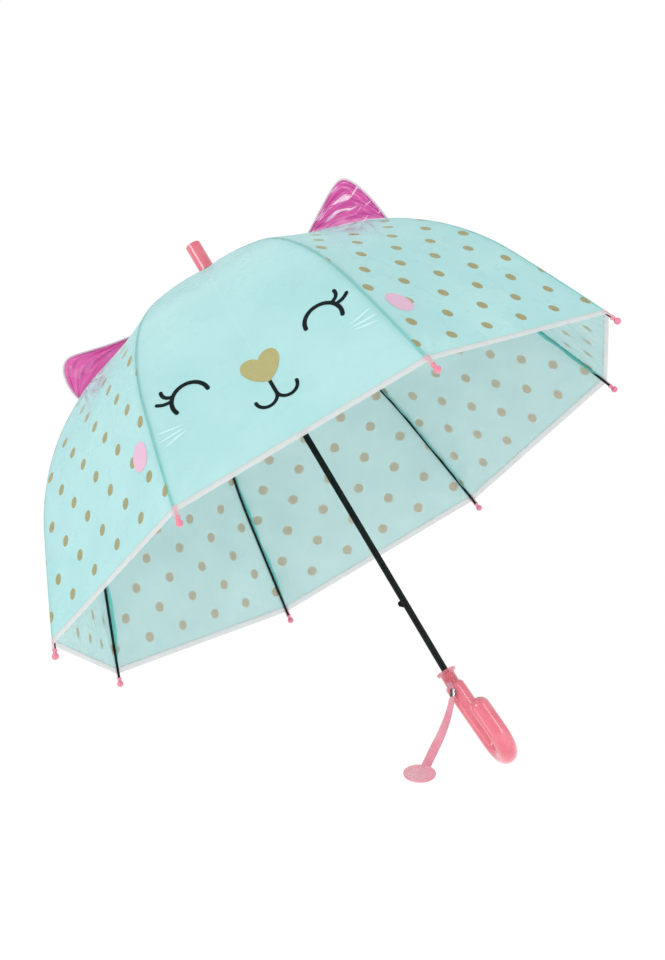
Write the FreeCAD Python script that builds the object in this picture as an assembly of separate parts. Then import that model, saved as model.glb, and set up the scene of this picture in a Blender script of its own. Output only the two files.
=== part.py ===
import FreeCAD, Part
import math
import os

# Children's dome umbrella with eight ribs, open.
# Frame: +Z up the shaft to the ferrule, origin on the shaft axis in the middle of the grip.
# The plain front panel faces -Y. Ribs and panels are numbered anticlockwise from above,
# starting with the rib on the left of the front panel.

# --- driving dimensions, mm and degrees ------------------------------------------------
RIB_COUNT = 8
RIB_PITCH = 360.0 / RIB_COUNT
HALF_PITCH = RIB_PITCH / 2
FIRST_RIB_AZIMUTH = -90.0 - HALF_PITCH

# The canopy's line over a rib: three tangent arcs in the plane of radius and height.
CROWN_RADIUS = 10.5
CROWN_HEIGHT = 566.8
CROWN_SLOPE = 18.1
ARCS = ((163.7, 6.3), (196.0, 41.4), (132.0, 2.2))  # length along the rib, change of slope
RIB_LENGTH = sum(length for length, _ in ARCS)
CORNER_LENGTH = RIB_LENGTH - 12.0  # where the film's corner is tied to the rib
ELBOW_LENGTH = 213.0  # where the stretcher meets the rib
FILM = (-0.20, -0.23)  # the film's thickness, as a shift of its outer line
FILM_TUCK = 2.5  # how far the film reaches in under the ferrule
SEAM_GAP = 0.5  # how far each panel's point stands off the axis

RIB_WIRE_R = 1.35
RIB_INSET = 2.0  # rib centre line below the canopy line
PIVOT_INSET = 4.0  # crown pivot below the canopy line
ELBOW_INSET = 6.5  # stretcher pivot below the canopy line
ELBOW_GAP = 0.6
EYE_THICKNESS = 2.2
EYE_R = 2.0
EYE_HOLE_R = 0.60
EYE_PLAY = 0.3  # between an eye and the clip round it
PIN_R = 0.55
CLIP_LENGTH = 7.0
CLIP_SETBACK = 5.0  # from the elbow back to the clip's middle
CLIP_WALL = 0.8
CLIP_TAPER = 1.5
CLIP_RISE = 0.5  # the clip's top above the rib's centre line
STRETCHER_R = 1.1
CLOSED_ANGLE = 0.6  # the rib's angle off the shaft when the umbrella is shut

TIP_NECK_R = 2.0
TIP_BALL_R = 3.6
TIP_NECK_LENGTH = 7.0
TIP_WIRE_DEPTH = 1.0

SHAFT_R = 3.5
SHAFT_BORE_R = 2.7
SHAFT_BOTTOM = -6.0
SHAFT_TOP = 594.0
FIT_R = SHAFT_R + 0.05

FERRULE_R = 8.5
FERRULE_BASE = 567.9
FERRULE_TOP = 602.0
FERRULE_ROUND = 1.5
FERRULE_SOCKET_TOP = 594.5

CROWN_R = 12.5
CROWN_BOTTOM = 558.5
CROWN_TOP = 565.0
SLOT_WIDTH = 2.8
SLOT_FLOOR_R = 7.0
TIE_WIRE_R = 0.45

RUNNER_R = 6.5
RUNNER_FLANGE_R = 12.5
RUNNER_FLANGE_HALF = 3.2
RUNNER_LENGTH = 46.0
RUNNER_COLLAR_R = 7.2
RUNNER_COLLAR_HEIGHT = 5.0
CATCH_SLOT_WIDTH = 2.2
CATCH_SLOT_TOP = 6.0  # below the runner's pivots

CATCH_HEIGHT = 9.0
CATCH_PROUD = 3.6
CATCH_THICKNESS = 1.6
CATCH_LEAF = 28.0  # from the catch's middle down to its pivot
CATCH_CLOSED_HEIGHT = 140.0

HANDLE_FLANGE_R = 10.35
HANDLE_TOP = 58.0
HANDLE_FLANGE_BOTTOM = 55.0
NECK_R = 7.5
SHOULDER_TOP = 43.5
SHOULDER_BOTTOM = 40.0
GRIP_R = 10.2
GRIP_LEAN = 4.0  # the grip and hook lean to +X from the shoulder down
HOOK_CENTRE_HEIGHT = -27.0
HOOK_R = 21.0
HOOK_AZIMUTH = -77.0
HOOK_LEG_TOP = 3.0
HANDLE_BORE_BOTTOM = -8.0

# The wrist strap hangs to one side of the grip in its own plane.
STRAP_EXIT = (-3.0, -7.0, 45.0)
STRAP_ACROSS = (0.8588, 0.1319, -0.4951)
STRAP_DOWN = (-0.5123, 0.2051, -0.8340)
STRAP_FRONT = (0.0085, -0.9698, -0.2437)
STRAP_STAND_OFF = 8.5  # strap plane in front of the exit
STRAP_ROUTE = ((3.3, 13.2), (-0.4, 31.0), (-7.2, 50.0), (-16.0, 68.0), (-23.9, 84.5))
STRAP_WIDTH = 8.5
STRAP_THICKNESS = 1.5
STRAP_NECK_WIDTH = 4.6
CRIMP_TOP = (3.3, 5.5)
CRIMP_WIDTH = 5.4
CRIMP_THICKNESS = 2.8
DISC_CENTRE = (-30.7, 89.8)
DISC_FORWARD = 11.9
DISC_TILT = 69.3
DISC_R = 16.5
DISC_HEIGHT = 3.2
DISC_LIP = 1.3
DISC_RECESS = 0.5

# The ears stand in the seams over ribs 3 and 8: base from and to along the rib, and the top's
# distance off the canopy line and its shift along the rib from the middle of the base.
EAR_FILM = 0.6
EARS = {
    "ear_right": (3, 118.0, 211.0, 44.5, 0.5),
    "ear_left": (8, 107.0, 204.0, 34.0, 21.0),
}
EAR_STAND_OFF = 0.4

# --- the canopy's line -------------------------------------------------------------------


def arc_table():
    """The canopy line's arcs as (start length, end length, start angle, centre, radius)."""
    table = []
    point = (CROWN_RADIUS, CROWN_HEIGHT)
    angle = math.radians(CROWN_SLOPE)
    start = 0.0
    for length, turn in ARCS:
        radius = length / math.radians(turn)
        centre = (point[0] - radius * math.sin(angle), point[1] - radius * math.cos(angle))
        table.append((start, start + length, angle, centre, radius))
        angle += math.radians(turn)
        start += length
        point = (centre[0] + radius * math.sin(angle), centre[1] + radius * math.cos(angle))
    return table


ARC_TABLE = arc_table()


def arc_at(s):
    """The arc that holds the point at length s."""
    for arc in ARC_TABLE:
        if s <= arc[1]:
            return arc
    return ARC_TABLE[-1]


def slope_at(s):
    """The line's angle below the horizontal at length s, in radians."""
    start, _, angle, _, radius = arc_at(s)
    return angle + (s - start) / radius


def line_point(s, inset=0.0, squeeze=1.0):
    """(radius, height) at length s, inset below the canopy line, its radius times squeeze."""
    _, _, _, centre, radius = arc_at(s)
    angle = slope_at(s)
    r = centre[0] + (radius - inset) * math.sin(angle)
    return r * squeeze, centre[1] + (radius - inset) * math.cos(angle)


def vec(r, z):
    return FreeCAD.Vector(r, 0, z)


def line_edges(s0, s1, inset=0.0, squeeze=1.0, shift=(0.0, 0.0)):
    """The line from length s0 to s1 as arcs in the XZ plane."""
    cuts = [s0] + [arc[1] for arc in ARC_TABLE if s0 + 1 < arc[1] < s1 - 1] + [s1]
    edges = []
    end = line_point(s0, inset, squeeze)
    for a, b in zip(cuts, cuts[1:]):
        points = [end, line_point((a + b) / 2, inset, squeeze), line_point(b, inset, squeeze)]
        end = points[2]
        edges.append(Part.Arc(*[vec(r + shift[0], z + shift[1]) for r, z in points]).toShape())
    return edges


# --- small helpers -----------------------------------------------------------------------


def cylinder(radius, bottom, top, inner=0.0):
    """A cylinder or tube on the Z axis."""
    solid = Part.makeCylinder(radius, top - bottom, FreeCAD.Vector(0, 0, bottom))
    if inner:
        solid = solid.cut(Part.makeCylinder(inner, top - bottom, FreeCAD.Vector(0, 0, bottom)))
    return solid


def turned(shape, azimuth):
    """A copy of a shape modelled at azimuth 0, turned about the shaft."""
    copy = shape.copy()
    copy.rotate(FreeCAD.Vector(), FreeCAD.Vector(0, 0, 1), azimuth)
    return copy


def cross_pin(point, radius, width):
    """A cylinder across the XZ plane through point, which is (radius, height)."""
    start = FreeCAD.Vector(point[0], -width / 2, point[1])
    return Part.makeCylinder(radius, width, start, FreeCAD.Vector(0, 1, 0))


def rod(start, end, radius):
    """A round rod between two (radius, height) points in the XZ plane."""
    a, b = vec(*start), vec(*end)
    return Part.makeCylinder(radius, (b - a).Length, a, b - a)


def wire_along(s0, s1, inset, radius):
    """A round wire that follows the canopy line."""
    edges = line_edges(s0, s1, inset)
    path = Part.Wire(edges)
    start = edges[0].valueAt(edges[0].FirstParameter)
    along = edges[0].tangentAt(edges[0].FirstParameter)
    ring = Part.Wire([Part.Circle(start, along, radius).toShape()])
    return path.makePipeShell([ring], True, False)


def polygon_prism(points, width):
    """A prism of an XZ outline, centred on the XZ plane."""
    corners = [FreeCAD.Vector(r, -width / 2, z) for r, z in points]
    face = Part.Face(Part.makePolygon(corners + corners[:1]))
    return face.extrude(FreeCAD.Vector(0, width, 0))


def along_line(point, slope, forward, down):
    """A (radius, height) point moved along the line's direction and into the dome."""
    r = point[0] + forward * math.cos(slope) - down * math.sin(slope)
    return r, point[1] - forward * math.sin(slope) - down * math.cos(slope)


# --- pivots ------------------------------------------------------------------------------
CROWN_PIVOT = line_point(0.0, PIVOT_INSET)
ELBOW = line_point(ELBOW_LENGTH, RIB_INSET)
CLIP_AT = ELBOW_LENGTH - CLIP_SETBACK
STRETCHER_PIVOT = line_point(CLIP_AT, ELBOW_INSET)
LINK = math.hypot(STRETCHER_PIVOT[0] - CROWN_PIVOT[0], STRETCHER_PIVOT[1] - CROWN_PIVOT[1])
RUNNER_PIVOT = (CROWN_PIVOT[0], 2 * STRETCHER_PIVOT[1] - CROWN_PIVOT[1])
CLOSED_RUNNER_HEIGHT = CROWN_PIVOT[1] - 2 * LINK * math.cos(math.radians(CLOSED_ANGLE))
CATCH_OPEN_HEIGHT = RUNNER_PIVOT[1] - CATCH_SLOT_TOP - CATCH_HEIGHT / 2 - 0.2
TRAVEL = RUNNER_PIVOT[1] - CLOSED_RUNNER_HEIGHT

# --- sub-parts ---------------------------------------------------------------------------


def rib_inner():
    """The rib from the crown to the elbow, with its eye and the stretcher's clip."""
    wire = wire_along(0.0, ELBOW_LENGTH - ELBOW_GAP, RIB_INSET, RIB_WIRE_R)
    eye = cross_pin(CROWN_PIVOT, EYE_R, EYE_THICKNESS)
    body = wire.fuse(eye).cut(cross_pin(CROWN_PIVOT, EYE_HOLE_R, 2 * EYE_THICKNESS))
    slope = slope_at(CLIP_AT)
    centre = line_point(CLIP_AT, RIB_INSET)
    depth = ELBOW_INSET - RIB_INSET + EYE_R
    outline = [
        along_line(centre, slope, x, y)
        for x, y in (
            (-CLIP_LENGTH / 2, -CLIP_RISE),
            (CLIP_LENGTH / 2, -CLIP_RISE),
            (CLIP_LENGTH / 2 - CLIP_TAPER, depth),
            (CLIP_TAPER - CLIP_LENGTH / 2, depth),
        )
    ]
    outer = EYE_THICKNESS + EYE_PLAY + 2 * CLIP_WALL
    clip = polygon_prism(outline, outer)
    reach, start, end = 2 * CLIP_LENGTH, RIB_WIRE_R - 0.35, 2 * depth
    space = [(-reach, start), (reach, start), (reach, end), (-reach, end)]
    space = [along_line(centre, slope, x, y) for x, y in space]
    clip = clip.cut(polygon_prism(space, EYE_THICKNESS + EYE_PLAY))
    pin = cross_pin(STRETCHER_PIVOT, PIN_R, outer)
    return body.fuse(clip).fuse(pin).removeSplitter()


def rib_outer():
    """The rib from the elbow to its tip, where the wire ends inside the tip cap."""
    end = RIB_LENGTH - TIP_NECK_LENGTH + TIP_WIRE_DEPTH
    return wire_along(ELBOW_LENGTH + ELBOW_GAP, end, RIB_INSET, RIB_WIRE_R)


def tip_cap():
    """The moulded cap on the rib's end: a neck and a ball."""
    start = line_point(RIB_LENGTH - TIP_NECK_LENGTH, RIB_INSET)
    end = line_point(RIB_LENGTH, RIB_INSET)
    neck = rod(start, end, TIP_NECK_R)
    ball = Part.makeSphere(TIP_BALL_R, vec(*end))
    a, b = vec(*start), vec(*end)
    collar = Part.makeCone(TIP_NECK_R + 0.8, TIP_NECK_R, 2.5, a, b - a)
    bore_end = RIB_LENGTH - TIP_NECK_LENGTH + TIP_WIRE_DEPTH + 0.05
    wire_end = vec(*line_point(bore_end, RIB_INSET))
    bore = Part.makeCylinder(RIB_WIRE_R + 0.15, (wire_end - a).Length + 1, a - (b - a).normalize(), b - a)
    return neck.fuse(ball).fuse(collar).cut(bore)


def stretcher():
    """The strut from the runner to the rib, with an eye at each end."""
    body = rod(RUNNER_PIVOT, STRETCHER_PIVOT, STRETCHER_R)
    for point, hole in ((RUNNER_PIVOT, EYE_HOLE_R), (STRETCHER_PIVOT, PIN_R + 0.05)):
        body = body.fuse(cross_pin(point, EYE_R - 0.2, EYE_THICKNESS))
        body = body.cut(cross_pin(point, hole, 2 * EYE_THICKNESS))
    return body


def panel(s0, s1):
    """A gore's film from length s0 to s1. It is flat across, so it is one extrusion, cut at the seams."""
    squeeze = math.cos(math.radians(HALF_PITCH))
    outer = line_edges(s0, s1, 0.0, squeeze)
    inner = line_edges(s0, s1, 0.0, squeeze, FILM)
    first = Part.makeLine(outer[0].Vertexes[0].Point, inner[0].Vertexes[0].Point)
    last = Part.makeLine(outer[-1].Vertexes[-1].Point, inner[-1].Vertexes[-1].Point)
    wire = Part.Wire(Part.__sortEdges__(outer + [last] + inner + [first]))
    reach = RIB_LENGTH
    strip = Part.Face(wire)
    strip.translate(FreeCAD.Vector(0, -reach / 2, 0))
    sheet = strip.extrude(FreeCAD.Vector(0, reach, 0))
    side = (reach - SEAM_GAP) * math.tan(math.radians(HALF_PITCH))
    plan = [(SEAM_GAP, 0), (reach, -side), (reach, side)]
    corners = [FreeCAD.Vector(x, y, 0) for x, y in plan]
    wedge = Part.Face(Part.makePolygon(corners + corners[:1]))
    return sheet.common(wedge.extrude(FreeCAD.Vector(0, 0, 2 * CROWN_HEIGHT)))


def ear(s0, s1, height, shift):
    """A film ear standing on the canopy line in the plane of a rib."""
    middle = (s0 + s1) / 2
    slope = slope_at(middle)
    base = line_point(middle, -EAR_STAND_OFF)
    lower = line_edges(s0, s1, -EAR_STAND_OFF)
    a = lower[0].Vertexes[0].Point
    b = lower[-1].Vertexes[-1].Point
    half = (s1 - s0) / 2

    def place(forward, up):
        return vec(*along_line(base, slope, forward, -up))

    top = place(shift, height)
    far = min(shift + half * 0.62, half * 0.95)
    poles_a = [a, place(shift - half * 0.58, height * 0.5), place(shift - half * 0.22, height), top]
    poles_b = [top, place(shift + half * 0.25, height), place(far, height * 0.52), b]
    curves = []
    for poles in (poles_a, poles_b):
        curve = Part.BezierCurve()
        curve.setPoles(poles)
        curves.append(curve.toShape())
    face = Part.Face(Part.Wire(Part.__sortEdges__(lower + curves)))
    face.translate(FreeCAD.Vector(0, -EAR_FILM / 2, 0))
    return face.extrude(FreeCAD.Vector(0, EAR_FILM, 0))


def shaft():
    """The tube from the handle to inside the ferrule, with a slot for each catch."""
    tube = cylinder(SHAFT_R, SHAFT_BOTTOM, SHAFT_TOP, SHAFT_BORE_R)
    for height in (CATCH_OPEN_HEIGHT, CATCH_CLOSED_HEIGHT):
        size = CATCH_HEIGHT + 0.6
        corner = FreeCAD.Vector(-SHAFT_R - 1, -CATCH_THICKNESS / 2 - 0.1, height - size / 2)
        tube = tube.cut(Part.makeBox(SHAFT_R + 1, CATCH_THICKNESS + 0.2, size, corner))
    return tube


def catch(height):
    """A flat catch and its leaf in one strip; it turns about the eye at the leaf's end."""
    back = -SHAFT_R + 1.4
    front = -SHAFT_R - CATCH_PROUD
    half = CATCH_HEIGHT / 2
    outline = [
        (back, height + half),
        (front + 1.5, height + half),
        (front, height + half - 1.5),
        (front, height - half + 4.5),
        (back - 0.3, height - half),
        (back - 0.3, height - CATCH_LEAF),
        (back + 0.3, height - CATCH_LEAF),
        (back + 0.3, height + half),
    ]
    strip = polygon_prism(outline, CATCH_THICKNESS)
    eye = cross_pin((back + 0.4, height - CATCH_LEAF), 0.7, CATCH_THICKNESS)
    hole = cross_pin((back + 0.4, height - CATCH_LEAF), 0.35, 2 * CATCH_THICKNESS)
    return strip.fuse(eye).cut(hole)


def slots(body, bottom, top):
    """Cut the eight rib slots into a notched ring."""
    reach = 2 * CROWN_R
    for k in range(RIB_COUNT):
        corner = FreeCAD.Vector(SLOT_FLOOR_R, -SLOT_WIDTH / 2, bottom - 1)
        slot = Part.makeBox(reach, SLOT_WIDTH, top - bottom + 2, corner)
        body = body.cut(turned(slot, FIRST_RIB_AZIMUTH + k * RIB_PITCH))
    return body


def crown():
    """The notched ring at the shaft's top, and the tie wire that the ribs' eyes turn on."""
    ring = slots(cylinder(CROWN_R, CROWN_BOTTOM, CROWN_TOP, FIT_R), CROWN_BOTTOM, CROWN_TOP)
    centre = FreeCAD.Vector(0, 0, CROWN_PIVOT[1])
    ring = ring.cut(Part.makeTorus(CROWN_PIVOT[0], TIE_WIRE_R + 0.05, centre))
    wire = Part.makeTorus(CROWN_PIVOT[0], TIE_WIRE_R, centre)
    return Part.makeCompound([ring, wire])


def runner():
    """The sliding tube with a notched flange for the stretchers and a finger collar."""
    height = RUNNER_PIVOT[1]
    bottom = height - RUNNER_LENGTH
    low, high = height - RUNNER_FLANGE_HALF, height + RUNNER_FLANGE_HALF
    body = cylinder(RUNNER_R, bottom, high)
    body = body.fuse(slots(cylinder(RUNNER_FLANGE_R, low, high), low, high))
    body = body.fuse(cylinder(RUNNER_COLLAR_R, bottom, bottom + RUNNER_COLLAR_HEIGHT))
    body = body.cut(cylinder(FIT_R, bottom - 1, high + 1))
    top = height - CATCH_SLOT_TOP
    corner = FreeCAD.Vector(-RUNNER_FLANGE_R, -CATCH_SLOT_WIDTH / 2, bottom - 1)
    slot = Part.makeBox(RUNNER_FLANGE_R, CATCH_SLOT_WIDTH, top - bottom + 1, corner)
    return body.cut(slot).removeSplitter()


def ferrule():
    """The blunt moulded tip that closes the canopy on top of the shaft."""
    straight = cylinder(FERRULE_R, FERRULE_BASE, FERRULE_TOP)
    rim = [e for e in straight.Edges if abs(e.BoundBox.ZMin - FERRULE_TOP) < 0.01]
    rim = [e for e in rim if abs(e.BoundBox.ZMax - FERRULE_TOP) < 0.01]
    body = straight.makeFillet(FERRULE_ROUND, rim)
    return body.cut(cylinder(FIT_R, FERRULE_BASE - 1, FERRULE_SOCKET_TOP))


def handle():
    """The moulded J handle: flange, neck, grip and hook."""
    body = cylinder(HANDLE_FLANGE_R, HANDLE_FLANGE_BOTTOM, HANDLE_TOP)
    body = body.fuse(cylinder(NECK_R, SHOULDER_BOTTOM - 1, HANDLE_TOP))
    base = FreeCAD.Vector(0, 0, SHOULDER_BOTTOM)
    grip = Part.makeCone(GRIP_R, NECK_R, SHOULDER_TOP - SHOULDER_BOTTOM, base)
    grip = grip.fuse(cylinder(GRIP_R, HOOK_CENTRE_HEIGHT, SHOULDER_BOTTOM))
    centre = FreeCAD.Vector(HOOK_R, 0, HOOK_CENTRE_HEIGHT)
    bend = Part.makeTorus(HOOK_R, GRIP_R, centre, FreeCAD.Vector(0, 1, 0))
    lower = FreeCAD.Vector(-3 * HOOK_R, -3 * HOOK_R, HOOK_CENTRE_HEIGHT - 3 * HOOK_R)
    bend = bend.common(Part.makeBox(6 * HOOK_R, 6 * HOOK_R, 3 * HOOK_R, lower))
    foot = FreeCAD.Vector(2 * HOOK_R, 0, HOOK_CENTRE_HEIGHT)
    leg = Part.makeCylinder(GRIP_R, HOOK_LEG_TOP - HOOK_CENTRE_HEIGHT, foot)
    leg = leg.fuse(Part.makeSphere(GRIP_R, FreeCAD.Vector(2 * HOOK_R, 0, HOOK_LEG_TOP)))
    grip = grip.fuse(turned(bend.fuse(leg), HOOK_AZIMUTH))
    grip.rotate(FreeCAD.Vector(0, 0, SHOULDER_TOP), FreeCAD.Vector(0, 1, 0), -GRIP_LEAN)
    body = body.fuse(grip)
    return body.cut(cylinder(FIT_R, HANDLE_BORE_BOTTOM, HANDLE_TOP + 1)).removeSplitter()


# --- wrist strap -------------------------------------------------------------------------
ACROSS = FreeCAD.Vector(*STRAP_ACROSS)
DOWN = FreeCAD.Vector(*STRAP_DOWN)
FRONT = FreeCAD.Vector(*STRAP_FRONT)
EXIT = FreeCAD.Vector(*STRAP_EXIT)
STRAP_PLANE = EXIT + FRONT * STRAP_STAND_OFF


def strap_point(point, front=0.0):
    """A point of the strap's plane, given as (across, down)."""
    return STRAP_PLANE + ACROSS * point[0] + DOWN * point[1] + FRONT * front


def rounded_route(points):
    """Straight runs joined by tangent arcs as large as the two runs beside each allow."""
    edges, radii = [], []
    here = points[0]
    for before, corner, after in zip(points, points[1:], points[2:]):
        to_corner, to_after = corner - before, after - corner
        shorter = min(to_corner.Length, to_after.Length)
        half_turn = to_corner.getAngle(to_after) / 2
        cut = 0.45 * shorter
        radii.append(cut / math.tan(half_turn))
        a = corner - to_corner.normalize() * cut
        b = corner + to_after.normalize() * cut
        bisector = (a + b) * 0.5 - corner
        bisector.normalize()
        radius = radii[-1]
        middle = corner + bisector * (radius / math.cos(half_turn) - radius)
        edges.append(Part.makeLine(here, a))
        edges.append(Part.Arc(a, middle, b).toShape())
        here = b
    edges.append(Part.makeLine(here, points[-1]))
    return Part.Wire(edges), radii


def flat_section(centre, along, width, thickness):
    """A rectangle across the strap at a point of its route."""
    side = along.cross(FRONT).normalize() * (width / 2)
    face = FRONT * (thickness / 2)
    corners = [centre + side + face, centre - side + face, centre - side - face]
    corners.append(centre + side - face)
    return Part.makePolygon(corners + corners[:1])


def strap():
    """The ribbon from the crimp to the disc, and the short neck from the handle to the crimp."""
    route = [strap_point(p) for p in STRAP_ROUTE]
    path, radii = rounded_route(route)
    print("strap arcs' radii:", [round(r, 1) for r in radii], "length", round(path.Length, 1))
    section = flat_section(route[0], route[1] - route[0], STRAP_WIDTH, STRAP_THICKNESS)
    ribbon = path.makePipeShell([section], True, False)
    print("strap volume over section times length:",
          round(ribbon.Volume / (STRAP_WIDTH * STRAP_THICKNESS * path.Length), 3))
    top = strap_point(CRIMP_TOP)
    along = top - EXIT
    start = EXIT - along.normalize() * 0.8
    along = top - start
    neck = flat_section(start, along, STRAP_NECK_WIDTH, STRAP_THICKNESS)
    neck = Part.Face(neck).extrude(along)
    return Part.makeCompound([neck, ribbon])


def block(start, end, width, thickness):
    """A flat bar between two points of the strap's plane."""
    section = flat_section(start, end - start, width, thickness)
    return Part.Face(section).extrude(end - start)


def strap_crimp():
    """The metal clip that gathers the ribbon below the handle."""
    start, end = strap_point(CRIMP_TOP), strap_point(STRAP_ROUTE[0])
    return block(start, end, CRIMP_WIDTH, CRIMP_THICKNESS)


def strap_disc():
    """The moulded disc on the strap's end, with a raised lip round both faces."""
    tilt = math.radians(DISC_TILT)
    normal = FRONT * math.cos(tilt) - DOWN * math.sin(tilt)
    centre = strap_point(DISC_CENTRE, DISC_FORWARD)
    disc = Part.makeCylinder(DISC_R, DISC_HEIGHT, centre - normal * (DISC_HEIGHT / 2), normal)
    for side in (1, -1):
        start = centre + normal * (side * (DISC_HEIGHT / 2 - DISC_RECESS))
        recess = Part.makeCylinder(DISC_R - DISC_LIP, DISC_RECESS + 1, start, normal * side)
        disc = disc.cut(recess)
    return disc


# --- the assembly ------------------------------------------------------------------------


def build():
    """Every node of the umbrella, by name."""
    nodes = {
        "shaft": shaft(),
        "crown": crown(),
        "ferrule": ferrule(),
        "runner": runner(),
        "catch_open": catch(CATCH_OPEN_HEIGHT),
        "catch_closed": catch(CATCH_CLOSED_HEIGHT),
        "handle": handle(),
        "strap": strap(),
        "strap_crimp": strap_crimp(),
        "strap_disc": strap_disc(),
    }
    per_rib = {
        "rib_inner": rib_inner(),
        "rib_outer": rib_outer(),
        "tip": tip_cap(),
        "stretcher": stretcher(),
    }
    per_panel = {
        "panel_upper": panel(-FILM_TUCK, ELBOW_LENGTH - 0.15),
        "panel_lower": panel(ELBOW_LENGTH + 0.15, CORNER_LENGTH),
    }
    for k in range(RIB_COUNT):
        azimuth = FIRST_RIB_AZIMUTH + k * RIB_PITCH
        for name, shape in per_rib.items():
            nodes[f"{name}_{k + 1}"] = turned(shape, azimuth)
        for name, shape in per_panel.items():
            nodes[f"{name}_{k + 1}"] = turned(shape, azimuth + HALF_PITCH)
    for name, (rib, *size) in EARS.items():
        nodes[name] = turned(ear(*size), FIRST_RIB_AZIMUTH + (rib - 1) * RIB_PITCH)
    return nodes


def main():
    os.makedirs("parts", exist_ok=True)
    print("crown pivot", CROWN_PIVOT, "elbow", ELBOW, "stretcher pivot", STRETCHER_PIVOT)
    print("link", LINK, "runner pivot", RUNNER_PIVOT, "travel", TRAVEL)
    print("tip", line_point(RIB_LENGTH, RIB_INSET), "corner", line_point(CORNER_LENGTH))
    for name, shape in build().items():
        if not shape.isValid() or not shape.Solids:
            print("check this shape:", name, shape.isValid(), len(shape.Solids))
        shape.exportStep(f"parts/{name}.step")


main()
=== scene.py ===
"""A children's dome umbrella: a milky film canopy with printed dots and a sleepy animal face,
film ears, painted steel ribs, and a moulded J handle with a wrist strap."""

import math

import bpy
from mathutils import Matrix, Vector


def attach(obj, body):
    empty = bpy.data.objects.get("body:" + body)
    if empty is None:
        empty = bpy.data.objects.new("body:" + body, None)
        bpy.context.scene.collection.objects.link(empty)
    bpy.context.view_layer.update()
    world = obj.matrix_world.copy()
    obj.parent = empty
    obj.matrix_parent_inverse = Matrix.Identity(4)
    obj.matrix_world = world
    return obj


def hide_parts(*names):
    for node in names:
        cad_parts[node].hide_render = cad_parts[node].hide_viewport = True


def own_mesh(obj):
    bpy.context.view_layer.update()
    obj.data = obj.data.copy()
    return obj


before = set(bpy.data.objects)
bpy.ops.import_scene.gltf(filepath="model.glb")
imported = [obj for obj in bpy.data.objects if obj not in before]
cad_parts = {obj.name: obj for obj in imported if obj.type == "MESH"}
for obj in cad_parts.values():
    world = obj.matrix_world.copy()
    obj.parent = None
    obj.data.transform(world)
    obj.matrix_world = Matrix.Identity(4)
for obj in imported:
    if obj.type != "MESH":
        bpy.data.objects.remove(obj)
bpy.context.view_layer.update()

# Shapes are worked out in millimetres and degrees, and MM turns them into the frame's metres.
MM = 0.001

# --- the canopy's sizes: lengths run along the rib, and the line is the part's own ---
RIBS = 8
PITCH = 360.0 / RIBS
FIRST_RIB = -90.0 - PITCH / 2
COS_HALF = math.cos(math.radians(PITCH / 2))
SIN_HALF = math.sin(math.radians(PITCH / 2))
CROWN_RADIUS = 10.5
CROWN_HEIGHT = 566.8
CROWN_SLOPE = 18.1
ARCS = ((163.7, 6.3), (196.0, 41.4), (132.0, 2.2))  # length along the rib, change of slope
FILM_START = -2.5
ELBOW = 213.0
CORNER = 480.2
HEM_WIDTH = 5.6
FILM_END = CORNER - HEM_WIDTH
FILM_THICKNESS = 0.3
FACE_GORE = 1
SAG = 2.6  # how far a gore's middle is drawn in between its ribs
PUCKER_DEPTH = 0.16  # small waves beside a seam
SWELL_DEPTH = 0.5  # long waves further in
PULL_DEPTH = 0.55  # wrinkles that an ear's weld pulls
CORNER_DEPTH = 0.55  # folds that fan out of a corner

# --- small mesh helpers ---
SHARP = math.radians(42)


def signed_volume(mesh):
    """Volume inside a closed mesh, negative where its faces look inwards."""
    volume = 0.0
    for face in mesh.polygons:
        first, *rest = (mesh.vertices[i].co for i in face.vertices)
        volume += sum(first.dot(a.cross(b)) for a, b in zip(rest, rest[1:]))
    return volume / 6


def put(name, data):
    """A new object in the scene."""
    made = bpy.data.objects.new(name, data)
    bpy.context.scene.collection.objects.link(made)
    return made


def mesh_piece(name, points, faces, materials, body, smooth=True):
    """A mesh from points in millimetres, riding on a body of the frame."""
    mesh = bpy.data.meshes.new(name)
    mesh.from_pydata([Vector(p) * MM for p in points], [], faces)
    mesh.validate()
    if signed_volume(mesh) < 0:
        mesh.flip_normals()
    for material in materials:
        mesh.materials.append(material)
    if smooth:
        mesh.shade_smooth()
        mesh.set_sharp_from_angle(angle=SHARP)
    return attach(put(name, mesh), body)


def grid_faces(rows, columns, start=0, closed=False):
    """Quads between rows of points; closed joins each row's last point to its first."""
    faces = []
    for i in range(rows - 1):
        for j in range(columns if closed else columns - 1):
            a, b = start + i * columns + j, start + i * columns + (j + 1) % columns
            faces.append((a, b, b + columns, a + columns))
    return faces


def border_edges(rows, columns):
    """The edges once round the border of a grid of points."""
    loop = list(range(columns))
    loop += [i * columns + columns - 1 for i in range(1, rows)]
    loop += [(rows - 1) * columns + j for j in range(columns - 2, -1, -1)]
    loop += [i * columns for i in range(rows - 2, 0, -1)]
    return list(zip(loop, loop[1:] + loop[:1]))


def thin_sheet_faces(rows, columns):
    """Faces of a closed thin sheet: a grid of front points, as many back points, and the rim."""
    count = rows * columns
    faces = grid_faces(rows, columns)
    faces += [tuple(reversed(f)) for f in grid_faces(rows, columns, start=count)]
    return faces + [(b, a, a + count, b + count) for a, b in border_edges(rows, columns)]


def rings_solid(rings):
    """Points and faces of a closed tube through rings of equally many points, with flat ends."""
    count = len(rings[0])
    points = [p for ring in rings for p in ring]
    faces = grid_faces(len(rings), count, closed=True)
    faces.append(tuple(reversed(range(count))))
    last = (len(rings) - 1) * count
    faces.append(tuple(range(last, last + count)))
    return points, faces


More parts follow.
